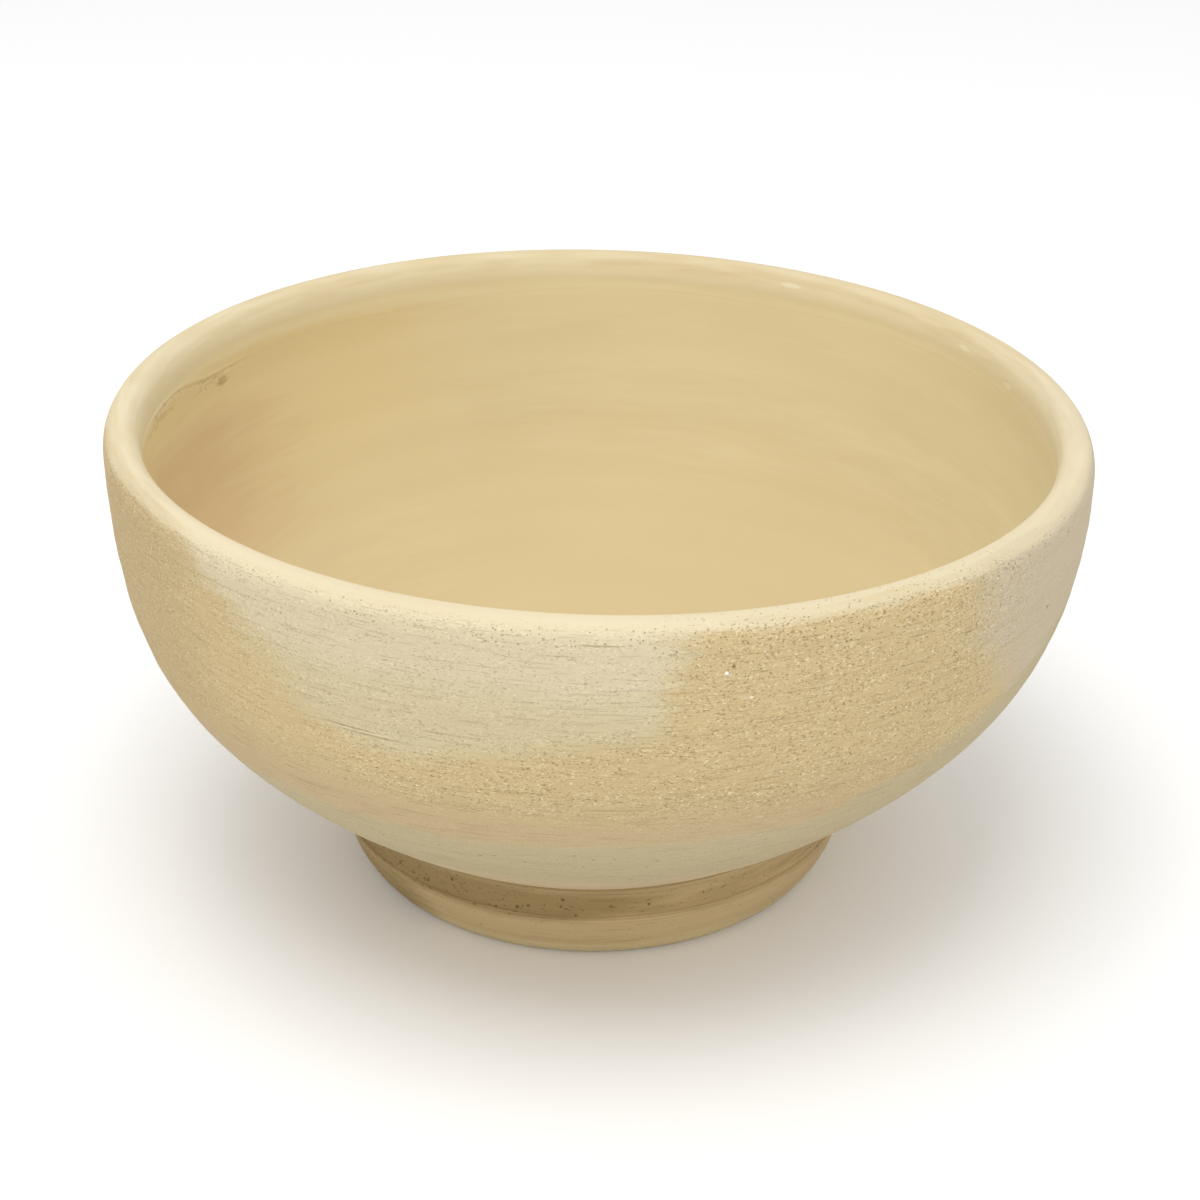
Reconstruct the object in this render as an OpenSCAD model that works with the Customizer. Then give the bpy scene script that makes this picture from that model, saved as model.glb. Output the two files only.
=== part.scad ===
// Unglazed clay bowl on a foot ring, thrown on the wheel.
// The frame is +Z up, with its origin on the table under the middle of the foot. Lengths are in millimetres.
// Every piece is a revolve about Z. The bowl's outer skin is one curve, and the clay's thickness is laid off
// square to it, so the wall stays even wherever the curve is changed.

/* [Rim] */
// Diameter of the bowl at its widest, at the lip
rim_d = 200; // [160:1:260]
// Height from the table to the top of the lip
bowl_h = 101; // [80:1:140]
// Width of the lip, from outside to inside
lip_w = 7.4; // [6:0.1:11]
// Height of the lip's rounded top above the widest point
lip_h = 5.4; // [3:0.1:8]
// How far below the lip its extra thickness fades into the wall
lip_fade = 13; // [8:1:24]

/* [Wall] */
// Thickness of the clay in the side
wall = 6.4; // [5:0.1:9]
// Thickness of the clay in the middle of the floor
floor_t = 9; // [7:0.5:14]
// How far outside the foot the floor has thinned down to the side
floor_blend = 26; // [12:1:36]
// Rise of the wall where it leaves the foot, in degrees from level
belly_angle = 34; // [28:1:42]
// Spacing of the potter's finger ridges inside
ring_pitch = 11; // [8:0.5:16]
// Height of the finger ridges, from hollow to crest
ring_depth = 0.4; // [0:0.05:1]

/* [Foot] */
// Diameter of the foot ring at its widest, on the turned line
foot_d = 109.8; // [96:0.2:124]
// Height of the joint between foot and bowl, seen from outside
foot_h = 19.3; // [17:0.1:24]
// How far the foot draws in from its widest place down to the table
foot_taper = 6.6; // [3:0.1:9]
// Width of the flat ring that stands on the table
foot_land = 5; // [3:0.5:7]
// Thickness of the foot ring where it meets the bowl
foot_seat = 10.5; // [8:0.5:13]
// Height of the turned line over the table
line_h = 11.2; // [8:0.1:12.5]
// Width of the turned line
line_w = 0.9; // [0.4:0.1:1.4]
// Depth of the turned line
line_depth = 0.4; // [0.2:0.05:0.8]
// Depth of the hollow turned between the line and the bowl
cove_depth = 1.7; // [0.5:0.1:3]
// How far the foot's top edge flares past its widest place
foot_flare = 0.6; // [0:0.1:2]
// Height of the bowl's underside over the table, in the middle
underside_h = 9.5; // [7:0.5:12]
// Rounding of the standing edges
edge_round = 1.6; // [0.5:0.1:2]

/* [Joint] */
// Thickness of the slip that sticks the foot to the bowl
slip_t = 0.5; // [0.3:0.1:1]
// How far the slip's smoothed fillet runs in under the bowl
slip_fillet = 1.6; // [0.8:0.1:3]

/* [Hidden] */
$fn = 60;

// Radii and heights that the pieces share
rim_r = rim_d / 2;
rim_z = bowl_h - lip_h;
foot_r = foot_d / 2;
joint_r = foot_r + foot_flare;
seat_r = joint_r - foot_seat;
stand_r = foot_r - foot_taper;
stand_in_r = stand_r - foot_land;

// Shape of the curves, each as a share of the stretch that it bends over
belly_low_share = 0.716;
belly_high_share = 0.522;
base_flat_share = 0.42;
base_turn_share = 0.85;
foot_low_share = 0.375;
foot_high_share = 0.16;
foot_lift_share = 0.55;
lip_squareness = 2.3;
probe_share = 0.001;

// How finely the curves are divided
wall_steps = 14;
seat_steps = 3;
hollow_steps = 5;
lip_steps = 8;
foot_steps = 6;
cove_steps = 6;
round_steps = 3;
steps_per_ring = 4;
run_steps = 48;

// Colours of the fired clay: pale on the bowl, browner on the foot
bowl_colour = "#DBC79C";
slip_colour = "#C9B184";
foot_colour = "#A88C61";

// A cubic curve through its end points a and d, drawn towards b and c
function cubic(a, b, c, d, t) =
    a * (1 - t) ^ 3 + 3 * b * t * (1 - t) ^ 2 + 3 * c * t ^ 2 * (1 - t) + d * t ^ 3;
// A smooth step from 0 to 1 that stays within them
function ease(t) = let (u = min(1, max(0, t))) u * u * (3 - 2 * u);
// Evenly spaced values from one to the other, both counted in
function steps(from, to, count) = [for (i = [0:count]) (from * (count - i) + to * i) / count];

// Outer skin of the side, from the foot's joint at t = 0 up to the widest point at t = 1
side_run = (rim_r - joint_r) * belly_low_share;
function side_skin(t) = cubic(
    [joint_r, foot_h],
    [joint_r + side_run, foot_h + side_run * tan(belly_angle)],
    [rim_r, rim_z - (rim_z - foot_h) * belly_high_share],
    [rim_r, rim_z],
    t);

// Outer skin of the underside, from the axis at t = 0 out to the foot's joint at t = 1
base_rise = (foot_h - underside_h) * base_turn_share;
function base_skin(t) = cubic(
    [0, underside_h],
    [joint_r * base_flat_share, underside_h],
    [joint_r - base_rise / tan(belly_angle), foot_h - base_rise],
    [joint_r, foot_h],
    t);

// Where the underside reaches a radius, found by halving
function base_at(r, lo = 0, hi = 1, tries = 24) =
    let (mid = (lo + hi) / 2)
    tries == 0 ? mid
    : base_skin(mid).x < r ? base_at(r, mid, hi, tries - 1) : base_at(r, lo, mid, tries - 1);
seat_at = base_at(seat_r);
fillet_at = base_at(seat_r - slip_fillet);

// The whole outer skin on one scale: the underside is 0 to 1 and the side 1 to 2
function skin(s) = s < 1 ? base_skin(s) : side_skin(s - 1);
// Distance along the skin from the axis, beside the place on the scale that it belongs to
run_table = [
    for (i = 0, run = 0; i <= run_steps;
        run = run + norm(skin(2 * (i + 1) / run_steps) - skin(2 * i / run_steps)), i = i + 1)
    [run, 2 * i / run_steps]];
skin_run = run_table[run_steps][0];
// Direction square to the skin, into the clay
function inward(s) =
    let (a = skin(max(0, s - probe_share)), b = skin(min(2, s + probe_share)), d = b - a)
    [-d.y, d.x] / norm(d);

// Thickness of the clay behind a point of the skin: the floor is thick, the side even and the lip fuller
floor_r = joint_r + floor_blend;
function clay(p) =
    wall
    + (floor_t - wall) * ease((floor_r - p.x) / floor_r)
    + (lip_w - wall) * ease(1 - (rim_z - p.y) / lip_fade);

// Finger ridges: a wave along the inside, fading out towards the middle of the floor and under the lip
function ridge(p, run) =
    ring_depth / 2 * cos(360 * run / ring_pitch)
    * ease((p.x - ring_pitch) / ring_pitch)
    * ease((rim_z - lip_fade - p.y) / ring_pitch);

// Inner skin: the outer one moved inwards by the clay's thickness, on the axis where the run is zero
function inside(run) =
    let (s = lookup(run, run_table), p = skin(s), q = p + inward(s) * (clay(p) + ridge(p, run)))
    [run == 0 ? 0 : q.x, q.y];

// The lip: half of a squarish oval standing on the wall, from outside to inside
function power(v) = sign(v) * abs(v) ^ (2 / lip_squareness);
function lip(a) = [rim_r - lip_w / 2 + lip_w / 2 * power(cos(a)), rim_z + lip_h * power(sin(a))];

// Stretches of the outer skin, cut so that the seat's corners are the same on all three pieces
hollow_skin = [for (t = steps(0, fillet_at, hollow_steps)) base_skin(t)];
seat_skin = [for (t = steps(seat_at, 1, seat_steps)) base_skin(t)];
side_points = [for (t = steps(0, 1, wall_steps)) side_skin(t)];
inner_steps = ceil(skin_run / ring_pitch) * steps_per_ring;

// A list without its first point, in the other order, and moved down
function tail(points) = [for (i = [1:len(points) - 1]) points[i]];
function flipped(points) = [for (i = [len(points) - 1:-1:0]) points[i]];
function lowered(points, drop) = [for (p = points) p - [0, drop]];

// The slip between foot and bowl has the seat's shape, one thickness down
slip_under = lowered(seat_skin, slip_t);

// The thrown bowl: floor, side and lip in one wall of clay
module bowl_body() {
    lip_points = [for (a = tail(steps(0, 180, lip_steps))) lip(a)];
    inner_points = tail([for (run = steps(skin_run, 0, inner_steps)) inside(run)]);
    color(bowl_colour)
    rotate_extrude()
    polygon(concat(hollow_skin, seat_skin, tail(side_points), lip_points, inner_points));
}

// The layer of slip that the foot was stuck on with, with a fillet wiped into the corner inside the foot
module slip_joint() {
    color(slip_colour)
    rotate_extrude()
    polygon(concat([base_skin(fillet_at)], seat_skin, flipped(slip_under)));
}

// The foot ring: a band drawn in towards the table, a turned line, and a cove up to the bowl
module foot_ring() {
    cove_low = line_h + line_w;
    cove_high = foot_h - slip_t;
    land_out = [for (t = steps(0, 1, foot_steps)) cubic(
        [stand_r, 0],
        [stand_r + foot_taper * foot_low_share, 0],
        [foot_r - foot_taper * foot_high_share, line_h * foot_lift_share],
        [foot_r, line_h],
        t)];
    cove = [for (u = steps(0, 1, cove_steps))
        [foot_r + foot_flare * u - cove_depth * sin(180 * u), cove_low + (cove_high - cove_low) * u]];
    land_in = [for (a = steps(0, 90, round_steps))
        [stand_in_r - edge_round * sin(a), edge_round * (1 - cos(a))]];
    color(foot_colour)
    rotate_extrude()
    polygon(concat(
        land_out,
        [[foot_r - line_depth, line_h + line_w / 2]],
        cove,
        tail(flipped(slip_under)),
        flipped(land_in)));
}

bowl_body();
slip_joint();
foot_ring();
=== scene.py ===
# %% [markdown]
# # A thrown bowl of unglazed clay
#
# The real bowl is fired clay and nothing else: one thrown wall, a turned foot ring, and the slip that joins them.
# Each of the three is a profile carried once round an upright axis, so each is made here as one grid of points.
# The Spin tool could carry the profile round too, but on a grid the marks of hand and wheel can be laid as numbers.
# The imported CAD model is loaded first. Every piece below takes its place from it.

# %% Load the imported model
import math

import bpy
import numpy as np
from mathutils import Matrix, Vector


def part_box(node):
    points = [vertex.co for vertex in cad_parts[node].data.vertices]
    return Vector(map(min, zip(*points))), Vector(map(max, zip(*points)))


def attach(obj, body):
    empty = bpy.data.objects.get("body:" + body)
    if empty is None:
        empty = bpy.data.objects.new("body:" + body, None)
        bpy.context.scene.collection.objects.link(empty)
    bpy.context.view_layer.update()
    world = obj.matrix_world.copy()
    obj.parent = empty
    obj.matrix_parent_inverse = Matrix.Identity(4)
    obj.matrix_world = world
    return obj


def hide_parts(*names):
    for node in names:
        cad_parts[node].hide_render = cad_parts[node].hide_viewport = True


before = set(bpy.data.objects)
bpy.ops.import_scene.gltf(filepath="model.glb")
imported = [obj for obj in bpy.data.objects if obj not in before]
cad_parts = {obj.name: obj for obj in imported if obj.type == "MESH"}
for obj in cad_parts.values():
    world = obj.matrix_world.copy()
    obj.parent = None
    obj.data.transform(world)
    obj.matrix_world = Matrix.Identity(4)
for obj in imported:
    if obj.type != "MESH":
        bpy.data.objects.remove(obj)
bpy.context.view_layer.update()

MM = 0.001  # one millimetre, in Blender's metres
bowl_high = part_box("bowl_body")[1]
print("bowl", round(2 * bowl_high.x / MM), "mm across,", round(bowl_high.z / MM), "mm high")

# %% [markdown]
# ## The sizes of the clay
#
# A potter would note these with callipers. They are in millimetres and repeat the sizes of the CAD source, so that
# each surface here stays where its solid is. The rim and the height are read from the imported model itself.

# %% Sizes in millimetres
rim_r = bowl_high.x / MM
bowl_h = bowl_high.z / MM
lip_w, lip_h, lip_fade, lip_squareness = 7.4, 5.4, 13.0, 2.3
wall_t, floor_t, floor_blend = 6.4, 9.0, 26.0
belly_angle = math.radians(34)
ring_pitch, ring_depth = 11.0, 0.4
foot_r, foot_h, foot_taper, foot_land, foot_seat = 54.9, 19.3, 6.6, 5.0, 10.5
line_h, line_w, line_depth = 11.2, 0.9, 0.4
cove_depth, foot_flare, edge_round = 1.7, 0.6, 1.6
underside_h, slip_t, slip_fillet = 9.5, 0.5, 1.6

# How far each curve bends, as a share of the stretch that it spans
belly_low, belly_high = 0.716, 0.522
base_flat, base_turn = 0.42, 0.85
band_low, band_high, band_lift = 0.375, 0.16, 0.55

rim_z = bowl_h - lip_h
joint_r = foot_r + foot_flare
seat_r = joint_r - foot_seat
print("rim radius", round(rim_r, 1), "at height", round(rim_z, 1), "and foot radius", foot_r)

# %% [markdown]
# ## Curves
#
# A potter's profile has no corners, so it is drawn with cubic curves, each from four points, as in the CAD source.
# An ease is a soft switch from 0 to 1. Nothing on clay starts abruptly, so every mark rises and falls by one.

# %% Curve helpers
def cubic(a, b, c, d, t):
    """Points a(1-t)^3 + 3b t(1-t)^2 + 3c t^2(1-t) + d t^3, one row for each value of t."""
    a, b, c, d = (np.array(point, float) for point in (a, b, c, d))
    t = np.asarray(t, float)[:, None]
    return a * (1 - t) ** 3 + 3 * b * t * (1 - t) ** 2 + 3 * c * t ** 2 * (1 - t) + d * t ** 3


def distance_along(points):
    """Running sum of the straight distances between neighbouring points."""
    return np.concatenate([[0.0], np.cumsum(np.hypot(*np.diff(points, axis=0).T))])


def ease(t):
    """The smooth step 3t^2 - 2t^3, held at 0 below 0 and at 1 above 1."""
    t = np.clip(t, 0.0, 1.0)
    return t * t * (3 - 2 * t)


def rise(x, start, length):
    """0 up to start and 1 from start + length on: ease((x - start) / length)."""
    return ease((x - start) / length)


def fall(x, end, length):
    """1 up to end - length and 0 from end on: ease((end - x) / length)."""
    return ease((end - x) / length)


def span(x, start, end, soft):
    """1 between start and end, and 0 from the length soft outside them on: a rise times a fall."""
    return rise(x, start - soft, soft) * fall(x, end + soft, soft)


print("ease halfway is", float(ease(0.5)))

# %% [markdown]
# ## The profile of the thrown wall
#
# The potter pulls one wall up from the wheel, so the clay is about as thick everywhere. The outer skin is drawn
# first, underside and side, and the inner skin is the same curve moved inwards by the clay's thickness. A Solidify
# modifier would thicken it evenly, but here the floor and the lip are fuller. Between the two skins the lip is half
# of a squarish oval, as a wet leather or sponge leaves it.

# %% Outer skin, inner skin and lip
FINE = 1500  # points on a curve before the grid's rows are chosen from it
base_rise = (foot_h - underside_h) * base_turn
underside = cubic([0, underside_h], [joint_r * base_flat, underside_h],
                  [joint_r - base_rise / math.tan(belly_angle), foot_h - base_rise], [joint_r, foot_h],
                  np.linspace(0, 1, FINE))
side_run = (rim_r - joint_r) * belly_low
side = cubic([joint_r, foot_h], [joint_r + side_run, foot_h + side_run * math.tan(belly_angle)],
             [rim_r, rim_z - (rim_z - foot_h) * belly_high], [rim_r, rim_z], np.linspace(0, 1, FINE))
skin = np.concatenate([underside, side[1:]])
skin_run = distance_along(skin)
along = np.gradient(skin, axis=0)
into_clay = np.stack([-along[:, 1], along[:, 0]], 1) / np.hypot(*along.T)[:, None]
thickness = (wall_t + (floor_t - wall_t) * ease(1 - skin[:, 0] / (joint_r + floor_blend))
             + (lip_w - wall_t) * ease(1 - (rim_z - skin[:, 1]) / lip_fade))
inner = skin + into_clay * thickness[:, None]

turn = np.linspace(0, math.pi, 200)[1:-1]
lip = np.stack([
    rim_r - lip_w / 2 + lip_w / 2 * np.sign(np.cos(turn)) * np.abs(np.cos(turn)) ** (2 / lip_squareness),
    rim_z + lip_h * np.sin(turn) ** (2 / lip_squareness)], 1)
profile = np.concatenate([skin, lip, inner[::-1]])
girth = distance_along(profile)
print("skin", round(skin_run[-1]), "mm long, whole profile", round(girth[-1]), "mm")

# %% [markdown]
# ## Rows and columns
#
# The grid is finest where the eye rests: on the outer wall, where turning marks lie a few millimetres apart, and on
# the lip. It is coarse on the floor and hardly there on the seat, which nobody sees. An even grid would need several
# times the points. Marks run round the pot, so the rows lie much closer together than the columns. A row knows its
# place on the profile and the way out of the clay.

# %% Rows along the profile and columns round it
AROUND = 350
angle = np.linspace(-math.pi, math.pi, AROUND, endpoint=False)  # 0 is the front, and it grows to the right
degrees = np.degrees(angle)


def rows_along(points, stops):
    """Places along a profile: each stop is an end in mm and how many rows lead up to it, evenly spaced.

    The way out of the clay is the profile's own direction turned by a right angle.
    """
    places = [np.array([0.0])]
    for end, count in stops:
        places.append(np.linspace(places[-1][-1], end, count + 1)[1:])
    place = np.concatenate(places)
    run = distance_along(points)
    slope = np.gradient(points, axis=0)
    outward = np.stack([slope[:, 1], -slope[:, 0]], 1) / np.hypot(*slope.T)[:, None]
    r, z, out_r, out_z = (np.interp(place, run, column) for column in (*points.T, *outward.T))
    return place, r, z, out_r, out_z


# Places along the profile where one part of the bowl ends and the next begins
g_seat = float(np.interp(seat_r - slip_fillet, skin[:FINE, 0], skin_run[:FINE]))
g_joint = skin_run[FINE - 1]
g_rim = skin_run[-1]
g_lip = girth[len(skin) + len(lip)]
place, row_r, row_z, out_r, out_z = rows_along(profile, [
    (g_seat, 12),         # underside, inside the foot
    (g_joint, 4),         # seat of the foot
    (g_rim - 6, 122),     # outer wall
    (g_rim, 12),          # shoulder
    (g_lip, 26),          # lip
    (g_lip + 13, 48),     # collar under the lip, where the crease runs
    (girth[-1], 50)])     # inside
along_rows = place[:, None]
print(len(place), "rows of", AROUND, "points:", 2 * len(place) * AROUND, "triangles")

# %% [markdown]
# ## Unevenness
#
# Clay under the hand is never quite true. Random numbers for each point would give sandpaper, so the unevenness is
# a sum of long, slow waves. A wave goes round a whole number of times, so that it meets itself and leaves no seam.

# %% Waves that close round the bowl
def ripple(seed, most_turns, lengths, run, count=24):
    """Gentle unevenness, mostly within -1 and 1, on the grid of rows and angles.

    It is the sum of cosine waves cos(turns * angle + 2 pi * run / length + shift), with whole numbers of turns up to
    most_turns either way and lengths in mm between the two given. The sum is scaled by the square root of the count.
    """
    draw = np.random.default_rng(seed)
    turns = draw.integers(-most_turns, most_turns + 1, count)[:, None, None]
    length = draw.uniform(*lengths, count)[:, None, None]
    shift = draw.uniform(0, 2 * math.pi, count)[:, None, None]
    waves = np.cos(turns * angle + 2 * math.pi * run[:, None] / length + shift)
    return waves.sum(0) / math.sqrt(2 * count)


sample = ripple(1, 3, (60, 120), place)
print("a ripple runs from", round(sample.min(), 2), "to", round(sample.max(), 2))

# %% [markdown]
# ## Marks of the fingers
#
# Inside, the potter's fingers leave a spiral of soft ridges, one for each rise of the wall. Just under the lip a
# crease runs where the wiping stopped, ragged and deepest on the left, with clay pushed up beside it. Both could be
# bump in a material, but they are real relief here, because their outlines and shadows show from the side.

# %% Finger ridges and the crease under the lip
crease_depth, crease_w, crease_drop = 0.32, 0.38, 3.3  # the drop is how far under the lip it runs
burr_height, burr_w, burr_off = 0.2, 0.4, 0.75  # the pushed-up clay lies this far above the crease

skin_at_row = np.interp(girth[-1] - place, girth[-1] - girth[-len(inner):][::-1], skin_run)[:, None]
finger = np.cos(2 * math.pi * skin_at_row / ring_pitch + angle + 0.8 * ripple(11, 3, (30, 70), place))
finger *= (rise(row_r, ring_pitch, ring_pitch) * fall(row_z, rim_z - lip_fade, ring_pitch))[:, None]
sag = 2.2 * fall(degrees, -102, 12) * rise(degrees, -180, 40)  # the crease runs lower past the left
crease_at = g_lip + crease_drop + 0.25 * ripple(12, 12, (40, 90), place) + sag
torn = (0.08 + 0.92 * span(degrees, -112, -88, 14)) * (0.7 + 0.3 * ripple(13, 30, (40, 90), place))
crease = torn * np.exp(-((along_rows - crease_at) / crease_w) ** 2)
burr = torn * np.exp(-((along_rows - crease_at + burr_off) / burr_w) ** 2)
print("crease", round(float(crease.max()), 2), "at its deepest")

# %% [markdown]
# ## Marks of the tool
#
# Outside, a turning tool shaved the leather-hard clay. It leaves shallow bands as wide as the tool and finer lines
# between them, and it took a little more off the belly. The lip stays slightly uneven where it was wiped, and inside
# the wiping left the finger ridges half as high as the solid has them. Each mark's height here is in millimetres.

# %% Relief of the bowl
shave_depth, shave_at, shave_reach = 0.6, 40, 14  # deepest at 40 mm above the table

outside = span(place, g_joint + 4, g_rim - 7, 4)[:, None]
on_lip = span(place, g_rim - 2, g_lip + 2, 6)[:, None]
inside = rise(place, g_lip + 2, 10)[:, None]
hollow = fall(place, g_seat - 2, 4)[:, None]
on_side = ((place > g_joint) & (place < g_rim))[:, None]
shaved = np.exp(-((row_z - shave_at) / shave_reach) ** 2)[:, None] * on_side * outside

bands, lines = 0.050 * ripple(21, 1, (7, 16), place), 0.028 * ripple(22, 2, (2.2, 4.5), place)
chatter = 0.018 * ripple(23, 70, (1.6, 4), place, 40)
wiped = 0.07 * ripple(24, 6, (30, 60), place) + 0.012 * ripple(25, 60, (3, 9), place, 40)
pressed = ring_depth / 4 * finger + 0.008 * ripple(26, 2, (4, 11), place) + 0.005 * ripple(27, 40, (3, 8), place, 40)
relief = (outside * (bands + lines + chatter) - shave_depth * shaved + on_lip * wiped + inside * pressed
          - crease_depth * crease + burr_height * burr + hollow * 0.07 * ripple(28, 1, (3, 7), place))
print("relief from", round(relief.min(), 2), "to", round(relief.max(), 2), "mm")

# %% [markdown]
# ## From a grid to a mesh
#
# A row of points swings round the axis: x is the radius times the sine of the angle, and y is minus the radius times
# its cosine, so that angle 0 faces the front. Neighbouring rows are joined by faces that all turn the same way, so
# that they point out of the clay, and the last column is joined to the first.

# %% Faces of a grid that closes round the axis
def lathe_faces(rows, loop):
    """Corners of the faces, where point row * AROUND + column is the grid's.

    A face of four joins each two neighbours in a row to the two above them. With loop the last row joins the first,
    as on a ring. Otherwise fans of triangles close both ends, to the two points that follow the grid's.
    """
    index = np.arange(rows * AROUND).reshape(rows, AROUND)
    above = np.roll(index, -1, 0) if loop else index[1:]
    lower = index if loop else index[:-1]
    beside, above_beside = np.roll(lower, -1, 1), np.roll(above, -1, 1)
    quads = np.stack([lower, beside, above_beside, above], -1).reshape(-1, 4).tolist()
    if loop:
        return quads
    pole = np.full(AROUND, index.size)
    first_fan = np.stack([pole, np.roll(index[0], -1), index[0]], -1)
    last_fan = np.stack([index[-1], np.roll(index[-1], -1), pole + 1], -1)
    return quads + first_fan.tolist() + last_fan.tolist()


print("a ring of 2 rows has", len(lathe_faces(2, True)), "faces")

# %% [markdown]
# The clay stands slightly out of true: below the rim the whole pot sways a millimetre or so to the left. A pattern
# shouldn't sway with it, so each point also keeps its place without sway, and the materials read that one.

# %% Grid to mesh, with weights for the materials
def sway(height):
    """How far the axis stands off in x at a height in mm: -1.4 up to 45, easing to 0 at 90."""
    return -1.4 * (1 - rise(height, 45, 45))


def lathe_mesh(name, radius, height, loop, run):
    """Mesh of a grid of rows swung round the axis.

    x = radius sin(angle) + sway, y = -radius cos(angle), z = height, all in mm and scaled to metres. Without loop
    the first and the last row become single points on the axis. The vector attribute "lathe" holds x and y without
    sway, and the run along the profile, in mm.
    """
    turned = np.stack(np.broadcast_arrays(radius * np.sin(angle), -radius * np.cos(angle), run[:, None]), -1)
    grid = np.stack([turned[..., 0] + sway(height), turned[..., 1], height], -1)
    middle = slice(None) if loop else slice(1, -1)
    points, marks = grid[middle].reshape(-1, 3), turned[middle].reshape(-1, 3)
    if not loop:
        points = np.concatenate([points, [grid[0].mean(0), grid[-1].mean(0)]])
        marks = np.concatenate([marks, [[0, 0, run[0]], [0, 0, run[-1]]]])
    mesh = bpy.data.meshes.new(name)
    mesh.from_pydata((points * MM).tolist(), [], lathe_faces(len(grid[middle]), loop))
    mesh.attributes.new("lathe", "FLOAT_VECTOR", "POINT").data.foreach_set("vector", marks.ravel())
    mesh.polygons.foreach_set("use_smooth", np.ones(len(mesh.polygons), bool))
    mesh.update()
    piece = bpy.data.objects.new(name, mesh)
    bpy.context.collection.objects.link(piece)
    return piece


def tint(piece, name, weight, loop):
    """Stores a weight between 0 and 1 for each point of the grid, as a float attribute for the materials."""
    values = weight.ravel() if loop else np.concatenate([weight[1:-1].ravel(), [weight[0, 0], weight[-1, 0]]])
    piece.data.attributes.new(name, "FLOAT", "POINT").data.foreach_set("value", np.clip(values, 0, 1))


print("the foot stands", round(float(sway(0.0)), 1), "mm off the rim's middle")

# %% [markdown]
# ## Pulled out of true
#
# The thin rim moved most in the drying: it isn't quite round, and it sank about two millimetres on the right and
# rose as much on the left. Both grow with height, because the foot was turned true last.

# %% The thrown bowl
lean = 0.024  # the rim falls 2.4 mm for each 100 mm to the right
warp = 0.25  # mm that the rim is out of round

loosened = rise(row_z, foot_h, rim_z - foot_h)[:, None]
radius = row_r[:, None] + out_r[:, None] * relief + loosened * warp * ripple(31, 3, (150, 400), place)
height = row_z[:, None] + out_z[:, None] * relief - loosened * lean * radius * np.sin(angle)
radius[0], radius[-1] = 0, 0
bowl = lathe_mesh("thrown_bowl", radius, height, False, place)
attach(bowl, "root")
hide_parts("bowl_body")
print("bowl:", len(bowl.data.vertices), "points,", len(bowl.data.polygons), "faces")

# %% [markdown]
# ## The foot ring
#
# The foot is a ring of browner clay. Its band draws in towards the table, a line was turned in it about halfway up,
# and above the line a cove runs up to the bowl. Its top follows the bowl's underside, one thickness of slip lower.
# The ring has no end along its profile, so its rows form a loop.

# %% Profile of the foot
stand_r = foot_r - foot_taper
stand_in_r = stand_r - foot_land
band = cubic([stand_r, 0], [stand_r + foot_taper * band_low, 0],
             [foot_r - foot_taper * band_high, line_h * band_lift], [foot_r, line_h], np.linspace(0, 1, 200))
step_up = np.linspace(0, 1, 60)
notch = np.stack([foot_r - line_depth * np.sin(math.pi * step_up) ** 2, line_h + line_w * step_up], 1)[1:]
cove_low = line_h + line_w
cove = np.stack([foot_r + foot_flare * step_up - cove_depth * np.sin(math.pi * step_up),
                 cove_low + (foot_h - slip_t - cove_low) * step_up], 1)[1:]
seat = underside[underside[:, 0] > seat_r][::-1] - [0, slip_t]
corner = np.linspace(math.pi / 2, 0, 30)
inner_edge = np.stack([stand_in_r - edge_round * np.sin(corner), edge_round * (1 - np.cos(corner))], 1)
foot_profile = np.concatenate([band, notch, cove, seat[1:], inner_edge])
closed_foot = np.concatenate([foot_profile, foot_profile[:1]])
foot_girth = distance_along(closed_foot)
print("foot profile", round(foot_girth[-1]), "mm round")

# %% [markdown]
# The rows of the foot are placed in the same way as the bowl's, between the corners of its profile.

# %% Rows of the foot
ends = np.cumsum([len(band), len(notch), len(cove), len(seat) - 1]) - 1
f_line, f_cove, f_top, f_seat = foot_girth[ends]
f_edge = foot_girth[len(foot_profile) - len(inner_edge)]
foot_place, foot_row_r, foot_row_z, foot_out_r, foot_out_z = (rows[:-1] for rows in rows_along(closed_foot, [
    (f_line, 36), (f_cove, 10), (f_top, 34), (f_seat, 4), (f_edge, 14), (foot_girth[-1], 12)]))
print(len(foot_place), "rows on the foot")

# %% [markdown]
# ## Tool marks on the foot
#
# The tool that cut the cove dragged grains along and left it streaky, while the band below was wiped smooth.
# The turned line was cut freehand: it is deep in places and nearly gone in others.

# %% The foot ring
in_cove = span(foot_place, f_cove + 1, f_top - 1.5, 1.5)[:, None]
on_band = span(foot_place, 2, f_line - 1.5, 2)[:, None]
on_line = span(foot_place, f_line + 0.1, f_cove - 0.1, 0.4)[:, None]
inside_foot = span(foot_place, f_seat + 1.5, f_edge, 2)[:, None]
foot_relief = (
    in_cove * (0.07 * ripple(41, 1, (1.5, 4), foot_place) + 0.04 * ripple(42, 40, (1.2, 3), foot_place, 40))
    + on_band * (0.05 * ripple(43, 1, (3, 8), foot_place) + 0.02 * ripple(44, 30, (3, 8), foot_place, 40))
    + on_line * (0.24 + 0.14 * ease(0.5 + ripple(45, 5, (200, 400), foot_place)))
    + inside_foot * 0.06 * ripple(46, 1, (2, 5), foot_place))
foot_radius = foot_row_r[:, None] + foot_out_r[:, None] * foot_relief
foot_height = foot_row_z[:, None] + foot_out_z[:, None] * foot_relief
foot = lathe_mesh("turned_foot", foot_radius, foot_height, True, foot_place)
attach(foot, "root")
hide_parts("foot_ring")
print("foot:", len(foot.data.vertices), "points,", len(foot.data.polygons), "faces")

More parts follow.
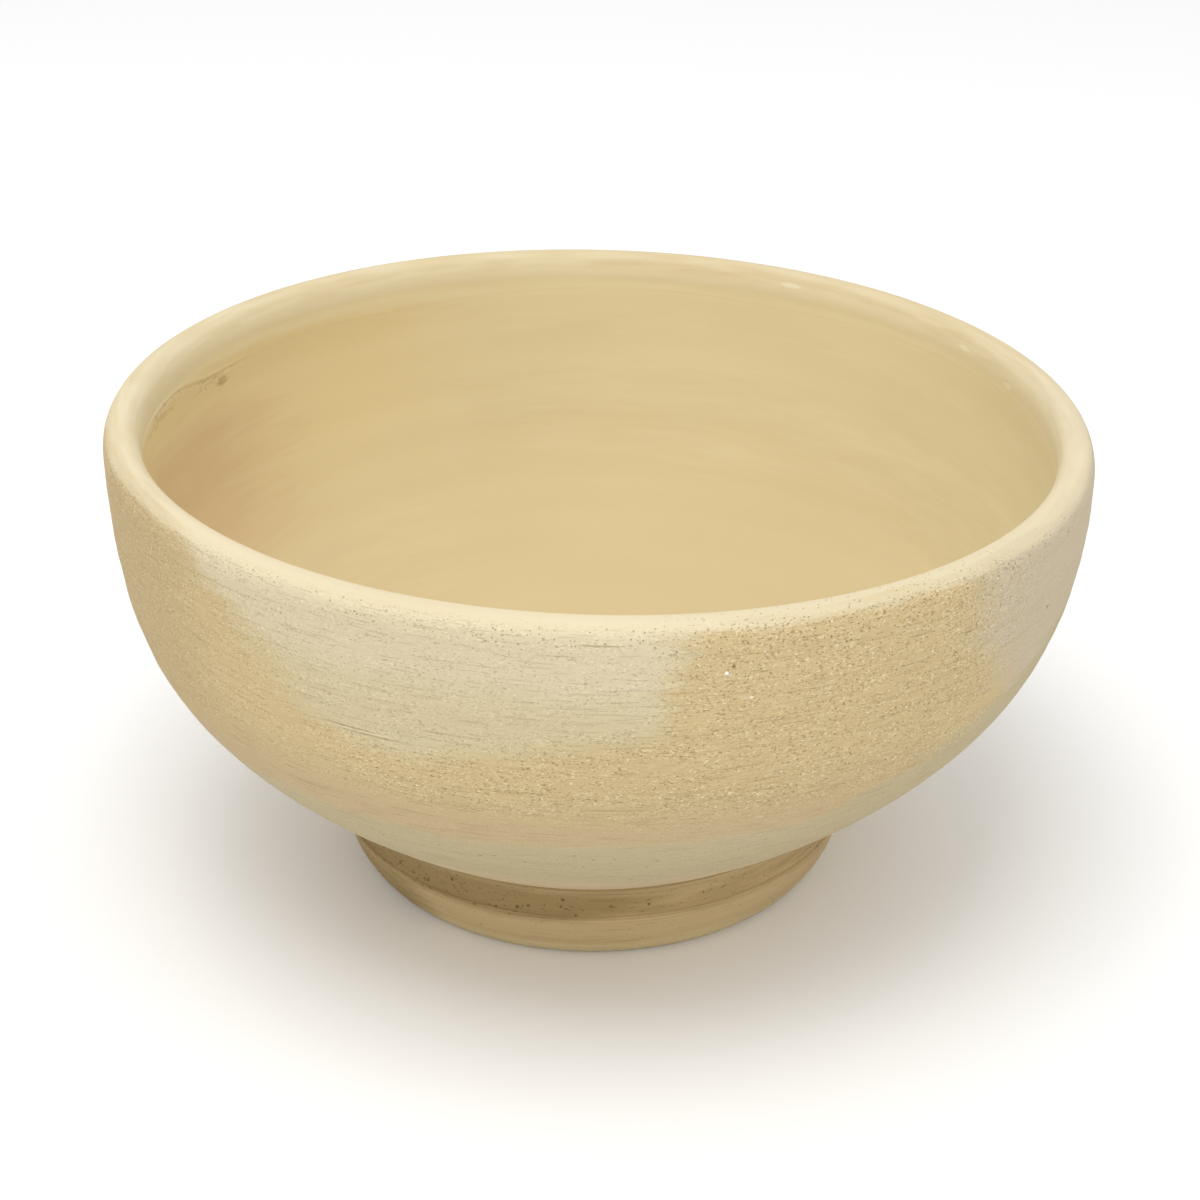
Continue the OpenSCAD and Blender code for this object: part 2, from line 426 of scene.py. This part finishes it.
# %% [markdown]
# ## The slip between them
#
# Slip is clay stirred with water. It squeezes out a little when the foot is pressed on, and a wet finger wipes it
# into a fillet inside the foot, where it can be seen from below. Outside it is a line half a millimetre high. It
# could be left to the foot's mesh, but it is a clay of its own, so it gets its own grid and its own material.

# %% The slip
slip_top = underside[underside[:, 0] > seat_r - slip_fillet]
slip_profile = np.concatenate([slip_top, seat])
closed_slip = np.concatenate([slip_profile, slip_profile[:1]])
slip_girth = distance_along(closed_slip)
s_top, s_edge, s_low = slip_girth[[len(slip_top) - 1, len(slip_top), len(slip_profile) - 1]]
slip_place, slip_r, slip_z, slip_out_r, slip_out_z = (rows[:-1] for rows in rows_along(closed_slip, [
    (s_top, 16), (s_edge, 6), (s_low, 12), (slip_girth[-1], 6)]))
squeeze = span(slip_place, s_top + 0.15, s_edge - 0.15, 0.15)[:, None]
slip_relief = squeeze * (0.05 + 0.05 * ripple(51, 40, (200, 400), slip_place))
slip = lathe_mesh("slip_seam", slip_r[:, None] + slip_relief, slip_z[:, None] + 0 * slip_relief, True, slip_place)
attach(slip, "root")
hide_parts("slip_joint")
print("slip:", len(slip.data.vertices), "points")

# %% [markdown]
# ## Where the fire touched
#
# The kiln's flame and the water in the clay leave patches. A pale bloom of salts lies over the front from the lip
# down, the wall beside it is warmer, the lower belly is greyer, and the lip, wiped with water, is palest of all.
# They could be painted by hand on an image, but a soft shape of angle and height says each in one line. Its border
# wanders with a slow drift and a quick flutter, and it is stored as a weight on the points.

# %% Where a point lies on the bowl
drift = ripple(61, 7, (30, 90), place)
flutter = ripple(62, 40, (10, 40), place, 40)
level = row_z[:, None] + 1.0 * drift + 0.6 * flutter  # height in mm, with a wandering border
bearing = degrees + 2.0 * drift + 1.5 * flutter  # degrees from the front, likewise
outer_side = ((place > g_joint) & (place < g_lip))[:, None]
in_view = fall(np.abs(bearing), 155, 50)  # fades what belongs to one side before it meets the other at the back
from_lip = rise(place, g_lip, 6)[:, None]


def store(zones, where=1):
    """Stores each zone's weight, times a mask, on the bowl and says how much of the grid it covers."""
    for name, weight in zones.items():
        tint(bowl, name, weight * where, False)
        print(name, "covers", round(float(np.clip(weight * where, 0, 1).mean()) * 100), "% of the grid")


print("borders wander by up to", round(float(np.abs(bearing - degrees).max())), "degrees")

# %% [markdown]
# Outside, the bloom hangs like a flag: its left edge slants with height, its right edge stands upright, and its
# lower edge drops towards the left. The greyer belly climbs on the right. Ash, a grey flush, lies on the right
# shoulder, and a darker band runs round just above the belly. The lowest belly is painted lighter, as light from
# below.

# %% Zones of colour outside
bloom = (rise(bearing, -52 + 0.7 * (rim_z - level), 14) * fall(bearing, 12, 10)
         * rise(level, 66.5 + 0.3 * np.maximum(bearing + 19, 0), 10))
ash_high = rise(bearing, 36 + 0.5 * np.maximum(88 - level, 0), 14) * fall(bearing, 135, 60) * rise(level, 52, 10)
ash_low = rise(bearing, 18, 14) * fall(bearing, 118, 50) * fall(level, 52, 8)
left_top = rise(level, 80, 12) * fall(bearing, -64, 14)  # far left, just under the lip, it is paler
to_right = np.clip(bearing - 26, 0, 50) * in_view
belly_top = 48.5 + 0.45 * to_right * fall(bearing, 115, 50)
belly_soft = 4.5 + 0.3 * to_right
store({
    "middle": fall(level, 72, 16),
    "left": fall(bearing, -38, 20) * rise(level, 52, 12) * in_view * (1 - 0.6 * left_top),
    "bloom": bloom,
    "paler": bloom * rise(level, 76, 18),
    "ash": ash_high + 0.5 * ash_low,
    "band": span(level, 51.5, 57.0, 1.2) * (0.65 + 0.35 * ease(0.5 + drift)),
    "belly": fall(level, belly_top + belly_soft, belly_soft),
    # painted light: the lowest belly is lighter, as if lit from below
    "under": fall(level, 38, 16)}, outer_side)

# %% [markdown]
# The lip is palest where the bloom meets it, at the front left. Two lists say how pale it is round the bowl, one
# for its outer shoulder and one for its crown. The inside fired evenly and warmer than the outside, a little darker
# towards the floor and where the crease is torn. On the left it is painted warmer and darker as shade, most of all
# below the crease.

# %% Zones of the lip and the inside
at = [-180, -150, -120, -90, -60, -45, -15, 3, 12, 25, 45, 60, 90, 120, 150, 180]
shoulder = np.interp(degrees, at,
                     [0.3, 0.35, 0.45, 0.75, 0.55, 0.85, 1, 0.95, 0.8, 0.65, 0.7, 0.75, 0.65, 0.5, 0.4, 0.3])
crown = np.interp(degrees, at,
                  [0.55, 0.6, 0.65, 0.75, 0.8, 0.95, 1, 1, 0.95, 0.95, 0.95, 0.9, 0.7, 0.55, 0.55, 0.55])
at_sides = rise(np.abs(degrees), 60, 25) * fall(np.abs(degrees), 115, 15)  # there the crown reaches further in
lip_out = span(along_rows + 0.4 * flutter, g_rim + 4.8, g_rim + 6.6, 2.4)
lip_top = span(along_rows + 0.3 * flutter, g_rim + 7, g_lip - 0.6 + 1.4 * at_sides, 2.2)
store({
    "lip": np.maximum(shoulder * lip_out, crown * lip_top),
    "inside": rise(place, g_lip - 5, 4.5)[:, None] + 0 * drift,
    "deep": from_lip * fall(level, 86, 46),
    "collar": rise(place, g_lip - 1, 4)[:, None] * rise(level, 80, 8),
    # painted shade: the inside on the left is warmer and darker, most of all below the crease
    "painted_shade_left_inside": from_lip * span(degrees, -135, -65, 40) * (0.25 + 0.75 * rise(level, 45, 30)),
    "painted_shade_below_crease": from_lip * 0.85 * span(degrees, -106, -92, 36) * span(level, 56, 76, 14),
    "torn": torn * span(along_rows - crease_at, -0.5, 2.6, 1.2)})

# %% [markdown]
# Three more weights say where the clay is marked. Tooled is all that the turning tool reached, rough is where it
# tore grains out, most of all in the warm wall right of the bloom and under it, and pitted is where pits crowd: in
# a row under the lip, in the same warm wall, and round the belly.

# %% Zones of rough clay
warm = rise(bearing, 2, 8) * fall(bearing, 62, 24) * rise(level, 52, 8)
below_bloom = rise(bearing, -40, 20) * fall(bearing, 50, 20) * span(level, 64, 76, 6)
torn_wall = np.maximum(warm, below_bloom)
tooled = outer_side * fall(along_rows, g_rim + 6.3, 3) * (1 - 0.6 * rise(bearing, 42, 14) * in_view)
pit_row = span(along_rows + 0.3 * flutter, g_rim + 1.4, g_rim + 4.4, 1.4) * (0.75 + 0.5 * flutter)
few_pits = 0.25 * span(along_rows, g_rim - 4, g_lip - 4, 2)
store({
    "tooled": tooled,
    "rough": tooled * (0.2 + 0.35 * rise(level, 57, 8) + 0.35 * (1 - bloom) * torn_wall),
    "pitted": np.maximum(pit_row, few_pits) * (0.35 + 0.65 * span(degrees, -75, 60, 20))
        + outer_side * np.maximum(0.6 * torn_wall, 0.7 * span(level, 34, 46, 3))})

# %% [markdown]
# ## Materials from nodes
#
# Fired earthenware without glaze scatters light evenly. Its roughness is above 0.9, like blotting paper, its IOR is
# left at 1.5, which is usual for fired clay, and it holds no metal. Half of the usual specular level leaves the
# faint sheen that such open, dusty clay has. What the eye reads is its fabric, so the work goes into the pattern.
# Colours are written as they would be on screen, and one function turns them to the linear values that Blender
# works in. Another adds any kind of node.

# %% Colour and node helpers
def to_linear(colour):
    """Linear RGBA of an sRGB hex: (c / 12.92) up to 0.04045, above it ((c + 0.055) / 1.055) to the power 2.4."""
    parts = [int(colour[i:i + 2], 16) / 255 for i in (1, 3, 5)]
    return tuple(c / 12.92 if c <= 0.04045 else ((c + 0.055) / 1.055) ** 2.4 for c in parts) + (1.0,)


def add(tree, kind, sockets=None, **settings):
    """Adds one node with its settings, fills or links the sockets named or numbered, and returns its first output."""
    node = tree.nodes.new("ShaderNode" + kind)
    for name, value in settings.items():
        setattr(node, name, value)
    for socket, value in (sockets or {}).items():
        if isinstance(value, bpy.types.NodeSocket):
            tree.links.new(value, node.inputs[socket])
        else:
            node.inputs[socket].default_value = value
    return next(output for output in node.outputs if output.enabled)


def matt_clay(name, roughness):
    """A new material with the roughness of bare clay and little shine, with its tree and shader."""
    material = bpy.data.materials.new(name)
    material.use_nodes = True
    shader = material.node_tree.nodes["Principled BSDF"]
    shader.inputs["Roughness"].default_value = roughness
    shader.inputs["Specular IOR Level"].default_value = 0.25
    return material, material.node_tree, shader


print("cream clay in linear light", [round(c, 3) for c in to_linear("#D5C8A6")[:3]])

# %% [markdown]
# ## Drags, nicks and scratches
#
# Clay with grog, which is crushed fired clay, is full of grains. A turning tool drags them round the pot, and what
# that leaves is longer round the pot than it is high. So one idea serves for all such marks: cloudy noise, stretched
# to a mark's length and height, and cut off above a threshold. Patterns read the "lathe" attribute, so that they run
# round the pot, keep their real size and close behind it.

# %% Marks of the tool, from stretched noise
def marks(tree, size, seed, low, high, zone=None, lift=0.0):
    """Marks of a size (length, width) in mm: 0 between them and 1 in their middle.

    Cloudy noise about 0 is read at lathe / (length, length, width) + seed. The result is a smooth step, from low to
    high, of that noise + lift * the zone's weight, so marks crowd where the weight is high.
    """
    length, width = size
    lathe = add(tree, "Attribute", attribute_name="lathe")
    spot = add(tree, "VectorMath", {0: lathe, 1: (1 / length, 1 / length, 1 / width), 2: (seed, seed, seed)},
               operation="MULTIPLY_ADD")
    lumps = add(tree, "TexNoise", {"Vector": spot, "Scale": 1.0, "Detail": 1.0})
    if zone:
        weight = add(tree, "Attribute", attribute_name=zone)
        lumps = add(tree, "Math", {0: weight, 1: lift, 2: lumps}, operation="MULTIPLY_ADD")
    return add(tree, "MapRange", {"Value": lumps, "From Min": 0.5 + low, "From Max": 0.5 + high},
               interpolation_type="SMOOTHSTEP")


PIXELS_PER_MM = 4.2  # of the picture, at the bowl
print("a nick of 0.6 mm is", round(0.6 * PIXELS_PER_MM, 1), "pixels wide in the picture")

# %% [markdown]
# ## Pits and grains
#
# Where a grain fell out it leaves a pit, and where one stays it shows as a pale dot. Both are round and lie at
# random, so they come from balls strewn through space, which the surface cuts. A few marks stand out so much that
# they are known one by one. Each of those is a ball of its own, stretched and put in its place.

# %% Round specks and single marks
def specks(tree, spacing, seed, radius, zone=None, lift=0.0):
    """Round specks: 1 in their middle, 0 outside a radius in mm, which grows by lift * the zone's weight.

    Space is cut into cells of the spacing, with one point at random in each, and the surface cuts some of the balls
    of that radius round the points. So the specks lie at random and come in all sizes up to the radius. Their edge
    is 0.08 mm soft.
    """
    lathe = add(tree, "Attribute", attribute_name="lathe")
    spot = add(tree, "VectorMath", {0: lathe, 1: (1 / spacing,) * 3, 2: (seed,) * 3}, operation="MULTIPLY_ADD")
    away = add(tree, "TexVoronoi", {"Vector": spot, "Scale": 1.0})
    reach = radius / spacing
    if zone:
        weight = add(tree, "Attribute", attribute_name=zone)
        reach = add(tree, "Math", {0: weight, 1: lift / spacing, 2: reach}, operation="MULTIPLY_ADD")
    depth = add(tree, "Math", {0: reach, 1: away}, operation="SUBTRACT")
    return add(tree, "MapRange", {"Value": depth, "From Max": 0.08 / spacing}, interpolation_type="SMOOTHSTEP")


def single(tree, where, size):
    """One mark by itself, 1 in its middle and 0 outside: an ellipsoid round a place (degrees, run) on the bowl.

    Size is half its length round the pot and half its height, in mm. The distance from the middle, in shares of
    those, gives 1 up to 0.4 and 0 from 1 on.
    """
    (turned, run), (length, width) = where, size
    r, turned = float(np.interp(run, place, row_r)), math.radians(turned)
    scale = (1 / length, 1 / length, 1 / width)
    centre = (r * math.sin(turned), -r * math.cos(turned), run)
    lathe = add(tree, "Attribute", attribute_name="lathe")
    spot = add(tree, "VectorMath", {0: lathe, 1: scale, 2: tuple(-c * k for c, k in zip(centre, scale))},
               operation="MULTIPLY_ADD")
    away = add(tree, "VectorMath", {0: spot}, operation="LENGTH")
    return add(tree, "MapRange", {"Value": away, "From Min": 1.0, "From Max": 0.4}, interpolation_type="SMOOTHSTEP")


print("a pit of 0.5 mm is", round(0.5 * PIXELS_PER_MM, 1), "pixels wide in the picture")

# %% [markdown]
# ## Stains, then relief with colour
#
# Stains go on first, as flat tones whose borders fray along the turning lines. Then each mark changes two things at
# once, the height of the surface and its colour, so one list says both. The summed height, in millimetres, goes
# into one Bump node whose distance is one millimetre, so the relief is as deep as the numbers say.

# %% Stains and worked surface
def stained(tree, colour, stains, fray_size):
    """The colour with the tone of each zone mixed over it, by (weight + fray - 0.15) / 0.7 held between 0 and 1.

    Fray runs from -0.15 to 0.15, in marks of the given size.
    """
    fray = add(tree, "MapRange", {"Value": marks(tree, fray_size, 3.1, -0.3, 0.3), "To Min": -0.15, "To Max": 0.15})
    for zone, tone in stains.items():
        weight = add(tree, "Attribute", attribute_name=zone)
        frayed = add(tree, "Math", {0: weight, 1: fray}, operation="ADD")
        amount = add(tree, "MapRange", {"Value": frayed, "From Min": 0.15, "From Max": 0.85})
        colour = add(tree, "Mix", {0: amount, 6: colour, 7: to_linear(tone)}, data_type="RGBA")
    return colour


def worked(tree, shader, colour, changes):
    """Puts marks on a surface. Each change is (weight, height in mm, strength, tone).

    The relief is the sum of weight * height, and each mark mixes its tone over the colour by weight * strength.
    """
    relief = 0.0
    for weight, height, strength, tone in changes:
        relief = add(tree, "Math", {0: weight, 1: height, 2: relief}, operation="MULTIPLY_ADD")
        amount = add(tree, "Math", {0: weight, 1: strength}, operation="MULTIPLY")
        colour = add(tree, "Mix", {0: amount, 6: colour, 7: to_linear(tone)}, data_type="RGBA")
    bump = add(tree, "Bump", {"Height": relief, "Distance": MM, "Strength": 1.0})
    tree.links.new(colour, shader.inputs["Base Color"])
    tree.links.new(bump, shader.inputs["Normal"])


print("stains and marks are ready")

# %% [markdown]
# ## Bisque-fired cream earthenware
#
# This is the bowl's own clay, turned while leather-hard and fired once without glaze. To the eye it is cream to
# tan, dry and finely gritty. The tan is the ground, and each zone's tone is mixed over it.

# %% The bowl's clay: colour
clay, tree, shader = matt_clay("bisque_cream_earthenware", 0.92)
colour = stained(tree, to_linear("#CFB98C"), {
    "middle": "#C7B38A", "left": "#C4AE84", "bloom": "#D2C4A0", "paler": "#DACDAE", "ash": "#CCBEA4",
    # the tone of under, for the lowest belly, is painted light from below
    "band": "#C6B08B", "belly": "#C1B492", "under": "#D3BE9B", "inside": "#E0D2AA", "deep": "#D9C89E",
    # the tones of dusk and glow, on the left of the inside, are painted shade
    "collar": "#E7DAB4", "painted_shade_left_inside": "#E2D0A2", "painted_shade_below_crease": "#DAC197", "lip": "#E1D4B3"}, (14.0, 1.6))
print("colours laid with", len(tree.nodes), "nodes")

# %% [markdown]
# Each mark has its real size: drags 2.4 mm long, nicks and the burrs beside them about 0.6 mm, hairlines of 9 mm and
# grooves of 26 mm. The finest grit is under 0.3 mm, too fine to show, so it is drawn as the nicks and burrs of twice
# that. Round pits and grains are up to 0.7 mm across, and most of them less. The inside was wiped and stays smooth.

# %% The bowl's clay: fabric
dust, line, pit, fresh, bright, grain = "#A8905E", "#8C7040", "#7C5826", "#FFF0C8", "#FFF0C6", "#FFF6DC"
turned, gritty, smooth = (add(tree, "Attribute", attribute_name=zone) for zone in ("tooled", "rough", "inside"))
patchy = add(tree, "Math", {0: gritty, 1: marks(tree, (9.0, 3.0), 91.3, -0.3, 0.0)}, operation="MULTIPLY")
unwiped = add(tree, "Math", {0: 1.0, 1: smooth}, operation="SUBTRACT")
fabric = [(marks(tree, (60.0, 22.0), 71.7, -0.25, 0.25), 0.0, 0.08, dust)]  # clouds
for size, seed, low, high, where, height, strength, tone in (
        ((90.0, 2.0), 83.1, -0.25, 0.25, unwiped, 0.0, 0.05, dust),   # streaks
        ((2.4, 0.45), 5.7, -0.05, 0.15, gritty, 0.04, 0.12, fresh),   # drags
        ((0.62, 0.34), 11.3, 0.1, 0.17, patchy, -0.04, 0.55, pit),    # nicks
        ((0.65, 0.34), 17.9, 0.08, 0.15, patchy, 0.04, 0.5, bright),  # burrs
        ((9.0, 0.4), 23.9, 0.13, 0.19, turned, -0.04, 0.16, line),    # hairlines
        ((26.0, 0.45), 31.4, 0.2, 0.26, turned, -0.05, 0.18, line)):  # grooves
    weight = add(tree, "Math", {0: marks(tree, size, seed, low, high), 1: where}, operation="MULTIPLY")
    fabric.append((weight, height, strength, tone))
fabric += [
    (specks(tree, 1.05, 41.2, 0.05, "pitted", 0.16), -0.08, 0.5, pit),  # fine pits
    (specks(tree, 4.2, 64.8, 0.0, "pitted", 0.32), -0.12, 0.45, pit),   # holes
    (specks(tree, 5.0, 77.6, 0.0, "belly", 0.36), -0.12, 0.5, pit),     # holes in the belly
    (marks(tree, (2.2, 0.35), 47.1, 0.35, 0.42, "torn", 0.36), -0.06, 0.2, "#9C7840"),  # cracks at the crease
    (specks(tree, 3.5, 57.5, 0.0, "rough", 0.3), 0.06, 0.7, grain)]     # pale grains
print(len(fabric), "kinds of marks")

# %% [markdown]
# The marks that are known one by one: two pale grains and two pits on the wall, a scratch under the front of the
# lip, a double scratch with a ridge between its lines, a dent inside at the left with a ridge above it, and three
# chips on the lip at the back.

# %% The bowl's clay: single marks
for where, size, height, strength, tone in (
        ((12.5, g_rim - 4.1), (0.55, 0.5), 0.1, 1.0, "#FFFCF4"),
        ((15.2, g_rim - 9.4), (0.6, 0.5), 0.1, 0.7, grain),
        ((13.2, g_rim - 2.9), (0.5, 0.5), -0.1, 0.7, pit),
        ((58.0, g_rim - 12.6), (0.6, 0.6), -0.1, 0.6, pit),
        ((0.2, g_rim + 1.75), (5.2, 0.22), -0.06, 0.45, "#8C6C34"),
        ((-26.5, g_rim - 21.4), (8.0, 0.28), -0.08, 0.4, line),
        ((-25.0, g_rim - 21.8), (9.0, 0.22), 0.05, 0.35, fresh),
        ((-24.0, g_rim - 22.2), (10.0, 0.28), -0.08, 0.4, line),
        ((-116.0, g_lip + 8.0), (2.4, 1.5), -0.15, 0.35, "#8C6C34"),
        ((-117.2, g_lip + 6.2), (2.0, 0.9), 0.1, 0.15, fresh),
        ((151.2, g_lip - 3.0), (3.4, 0.8), -0.06, 0.5, "#F4E8CA"),
        ((119.3, g_lip - 2.1), (2.4, 0.8), -0.06, 0.4, "#F4E8CA"),
        ((108.0, g_lip), (2.4, 1.0), -0.06, 0.4, "#F4E8CA")):
    fabric.append((single(tree, where, size), height, strength, tone))
worked(tree, shader, colour, fabric)
bowl.data.materials.append(clay)
print(clay.name, "has", len(tree.nodes), "nodes")

# %% [markdown]
# ## Ochre earthenware, turned
#
# The foot's clay holds more iron and fired browner, most of all in the cove, where it wasn't wiped, and the cove's
# brown is partly painted shade under the belly. To the eye it is as matt as the bowl but closer and streakier.
# Below the cove the brown fades into the lighter band, whose lowest part is painted lighter, as light thrown back
# by the table. On the left the brown is painted shade all the way down, and on the right the flame made the cove
# paler.

# %% Zones of the foot
foot_level = foot_row_z[:, None] + 0.5 * ripple(71, 12, (20, 60), foot_place)
on_front = ((foot_place > 0) & (foot_place < f_top))[:, None]
# painted shade: on the left the cove's brown reaches down over the band
painted_shade_on_left = fall(degrees, -30, 20) * rise(degrees, -110, 30)
on_right = rise(degrees, -2, 24) * fall(degrees, 155, 50)
cove_from = 8.5 + 1.5 * np.exp(-((degrees - 4) / 14) ** 2)  # the brown starts higher at the front
# the cove's brown: browner clay, and painted shade under the belly
brown = rise(foot_level, cove_from, 5) * (1 - 0.5 * rise(foot_level, 14.5, 3.5))
tint(foot, "cove", on_front * np.maximum(brown, 0.75 * painted_shade_on_left) * (1 - 0.6 * on_right), True)
tint(foot, "flame", on_front * rise(foot_level, 8, 5) * np.maximum(on_right, 0.5 * span(degrees, -4, 60, 10)), True)
# painted light: the lowest band is lighter, as light thrown back by the table
tint(foot, "painted_light_hem", on_front * fall(foot_level, 7, 5) * (1 - 0.6 * painted_shade_on_left), True)
print("the brown of the cove starts", round(float(cove_from.max())), "mm up at the front")

# %% [markdown]
# Its marks are streaks up to 60 mm long, a fine unevenness of 0.8 mm, grooves of 20 mm, and in the cove nicks and
# two sizes of pits, up to 0.9 mm across, where the tool pulled grains out. The grains that stayed are pale.

# %% The foot's clay
shade, dark = "#7A6238", "#5E4622"
foot_clay, tree, shader = matt_clay("turned_ochre_earthenware", 0.92)
# the hem's tone is painted light from the table, and the cove's tone is partly painted shade under the belly
colour = stained(tree, to_linear("#CBB286"),
                 {"painted_light_hem": "#DAC699", "cove": "#A08A5F", "flame": "#D6B7A1"}, (14.0, 1.2))
worked(tree, shader, colour, [
    (marks(tree, (40.0, 9.0), 12.6, -0.25, 0.25), 0.0, 0.12, shade),
    (marks(tree, (60.0, 0.9), 17.7, -0.25, 0.25), 0.01, 0.08, shade),
    (marks(tree, (0.8, 0.5), 11.3, -0.25, 0.25), 0.02, 0.05, shade),
    (marks(tree, (20.0, 0.5), 31.4, 0.16, 0.24), -0.06, 0.15, "#6A522C"),
    (marks(tree, (1.4, 0.4), 13.7, 0.22, 0.28, "cove", 0.06), -0.05, 0.5, dark),
    (specks(tree, 2.8, 41.2, 0.1, "cove", 0.34), -0.15, 0.6, dark),
    (specks(tree, 1.4, 44.2, 0.05, "cove", 0.16), -0.1, 0.55, dark),
    (specks(tree, 3.0, 57.5, 0.2), 0.05, 0.3, "#E8D4A8")])
foot.data.materials.append(foot_clay)
print(foot_clay.name, "has", len(tree.nodes), "nodes")

# %% [markdown]
# ## Fired slip
#
# The slip is the same clay without its coarse grains, so it is finer and smoother than either piece, and duller
# still, because nothing burnished it. Two sizes of cloudy marks are all that it needs.

# %% The slip's clay
slip_clay, tree, shader = matt_clay("fired_slip", 0.95)
worked(tree, shader, to_linear("#A08A5F"), [
    (marks(tree, (6.0, 1.5), 7.3, -0.25, 0.25), 0.02, 0.2, line),
    (marks(tree, (0.8, 0.5), 9.9, -0.25, 0.25), 0.02, 0.1, line)])
slip.data.materials.append(slip_clay)
print(slip_clay.name, "has", len(tree.nodes), "nodes")

# %% [markdown]
# ## Paper floor
#
# Product photographs are taken on white paper. The paper here is a shade under white for the light that it throws
# back at the clay, and white for the camera, so the background is clean and the pot isn't lit more for it.

# %% Floor
def looked_at(tree):
    """1 for rays that come from the camera, by gloss or through glass, and 0 for light thrown on other things."""
    seen = add(tree, "LightPath")
    path = seen.node
    for ray in ("Is Glossy Ray", "Is Transmission Ray"):
        seen = add(tree, "Math", {0: seen, 1: path.outputs[ray]}, operation="MAXIMUM")
    return seen


floor_half = 4.0  # metres from the middle to each edge
corners = [(x * floor_half, y * floor_half, 0) for x, y in ((-1, -1), (1, -1), (1, 1), (-1, 1))]
floor_mesh = bpy.data.meshes.new("studio_floor")
floor_mesh.from_pydata(corners, [], [(0, 1, 2, 3)])
floor = bpy.data.objects.new("studio_floor", floor_mesh)
bpy.context.collection.objects.link(floor)
paper = bpy.data.materials.new("matt_white_paper")
paper.use_nodes = True
tree, shader = paper.node_tree, paper.node_tree.nodes["Principled BSDF"]
shader.inputs["Roughness"].default_value = 1.0
shader.inputs["Specular IOR Level"].default_value = 0.0
white = add(tree, "Mix", {0: looked_at(tree), 6: to_linear("#E8E7E4"), 7: to_linear("#FCFCFC")}, data_type="RGBA")
tree.links.new(white, shader.inputs["Base Color"])
floor_mesh.materials.append(paper)
print("floor", 2 * floor_half, "m square")

# %% [markdown]
# ## Light
#
# One softbox hangs high above and a little to the left, so that grains throw short shadows to the lower right. A
# wide, weak lamp near the camera fills the belly, as the window behind the photographer would. An even white room
# does the rest. The room is white to the camera and a little weaker for the light it gives.

# %% Lamps and room
aim_at = Vector((0, 0, 0.05))  # the middle of the bowl
for name, size, power, stand in (("softbox", (0.9, 0.9), 9.5, (-0.15, -0.35, 1.5)),
                                 ("window", (1.4, 0.6), 3.0, (0.0, -1.5, 0.35))):
    lamp_data = bpy.data.lights.new(name, "AREA")
    lamp_data.shape = "RECTANGLE"
    lamp_data.size, lamp_data.size_y = size
    lamp_data.energy = power
    lamp = bpy.data.objects.new(name, lamp_data)
    bpy.context.collection.objects.link(lamp)
    aim = (aim_at - Vector(stand)).to_track_quat("-Z", "Y")
    lamp.matrix_world = Matrix.Translation(stand) @ aim.to_matrix().to_4x4()
    print(name, power, "W at", stand, "m")

world = bpy.data.worlds.new("white_room")
bpy.context.scene.world = world
world.use_nodes = True
tree = world.node_tree
strength = add(tree, "MapRange", {"Value": looked_at(tree), "To Min": 0.8, "To Max": 1.0})
tree.links.new(strength, tree.nodes["Background"].inputs["Strength"])
tree.nodes["Background"].inputs["Color"].default_value = (1, 1, 1, 1)
bpy.context.scene.view_settings.view_transform = "Standard"

# %% [markdown]
# ## Camera
#
# The picture was taken from about half a metre, 27 degrees above level. The place of the camera comes from the shape
# of the rim's ellipse: how flat it is gives the height, and how much larger the near side looks gives the distance.

# %% Camera
camera_stand = (0, -0.4633, 0.2893)  # metres
pitch = math.radians(26.74)
camera_data = bpy.data.cameras.new("camera")
camera_data.sensor_fit = "HORIZONTAL"
camera_data.sensor_width = 36.0
camera_data.lens = 73.26
camera_data.clip_start = 0.01
camera = bpy.data.objects.new("camera", camera_data)
bpy.context.collection.objects.link(camera)
camera.matrix_world = Matrix.Translation(camera_stand) @ Matrix.Rotation(math.pi / 2 - pitch, 4, "X")
bpy.context.scene.camera = camera
print("camera", round(math.degrees(pitch), 1), "degrees above level")
